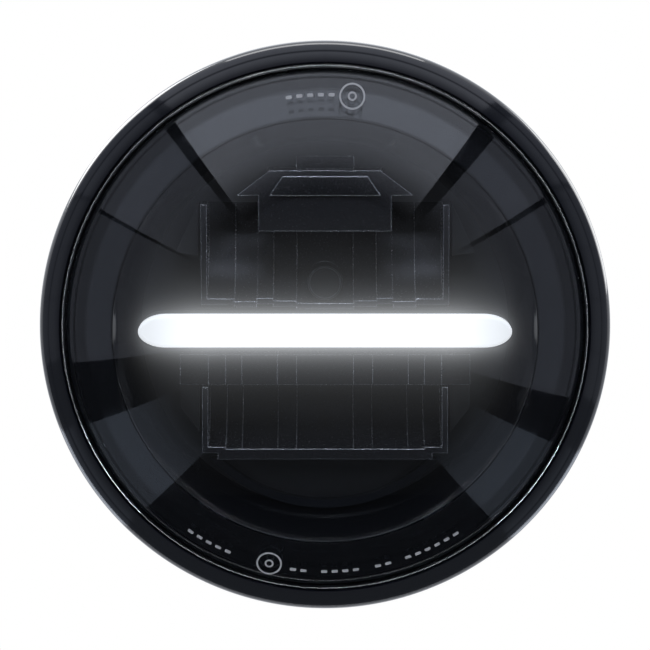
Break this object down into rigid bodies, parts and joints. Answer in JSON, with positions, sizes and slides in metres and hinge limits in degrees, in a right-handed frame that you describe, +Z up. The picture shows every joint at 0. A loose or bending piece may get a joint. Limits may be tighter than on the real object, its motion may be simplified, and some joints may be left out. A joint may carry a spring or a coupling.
{
  "type": "round led headlamp insert",
  "caption": "Round sealed LED headlamp insert: clear domed lens, black ring, light bar between two faceted reflectors, cast housing, finned heat sink and three-blade inlet.",
  "frame": {"origin": "on the lamp's axis, in the seat plane at the back of the flange, where the spigot starts", "axes": "+Z up, the lamp shines along -Y, +Y points back into the vehicle along the spigot"},
  "size_m": [0.178, 0.1175, 0.178],
  "materials": {
    "clear_lens": "polished clear polycarbonate",
    "sealant": "cured sealant",
    "ring_black": "glossy black moulding",
    "cast_black": "satin black powder coat on die-cast aluminium",
    "cast_aluminium": "as die-cast, fine blasted",
    "gasket_rubber": "matt moulded rubber",
    "zinc_steel": "zinc plated",
    "inlet_black": "moulded glass-filled nylon",
    "blade_tin": "tin-plated brass",
    "vent_plastic": "moulded",
    "membrane_white": "porous film",
    "frame_black": "fine satin black moulding",
    "bezel_black": "glossy black moulding",
    "smoke_mirror": "dark vapour-coated mirror",
    "opal_bar": "opal diffuser",
    "board_white": "white solder mask",
    "board_green": "green solder mask",
    "emitter_yellow": "phosphor under clear silicone",
    "pad_grey": "soft thermal pad",
    "bracket_aluminium": "milled",
    "standoff_brass": "turned",
    "can_aluminium": "drawn can",
    "chip_black": "moulded epoxy",
    "ferrite_grey": "pressed ferrite",
    "wire_red": "extruded insulation",
    "wire_black": "extruded insulation"
  },
  "bodies": {
    "root": {"lens": "clear_lens", "lens_seal": "sealant", "bezel_ring": "ring_black", "housing": "cast_black", "rear_gasket": "gasket_rubber", "heat_sink": "cast_aluminium", "rear_screws": "zinc_steel", "terminal_base": "inlet_black", "terminal_blades": "blade_tin", "terminal_gasket": "gasket_rubber", "terminal_screws": "zinc_steel", "vent_cap": "vent_plastic", "vent_membrane": "membrane_white", "optics_carrier": "frame_black", "carrier_screws": "zinc_steel", "inner_bezel": "bezel_black", "lower_trim": "bezel_black", "low_reflector": "smoke_mirror", "reflector_plug": "frame_black", "low_hood": "smoke_mirror", "high_reflector": "smoke_mirror", "high_curtain": "smoke_mirror", "reflector_screws": "zinc_steel", "bar_diffuser": "opal_bar", "bar_channel": "frame_black", "bar_board": "board_white", "bar_leds": "emitter_yellow", "led_bracket": "bracket_aluminium", "bracket_screws": "zinc_steel", "low_thermal_pad": "pad_grey", "low_led_board": "board_white", "low_leds": "emitter_yellow", "high_thermal_pad": "pad_grey", "high_led_board": "board_white", "high_leds": "emitter_yellow", "board_screws": "zinc_steel", "driver_board": "board_green", "driver_standoffs": "standoff_brass", "driver_screws": "zinc_steel", "driver_capacitors": "can_aluminium", "driver_inductors": "ferrite_grey", "driver_chips": "chip_black", "low_wires": "wire_red", "high_wires": "wire_red", "bar_wires": "wire_black", "inlet_leads": "wire_black"}
  },
  "joints": []
}
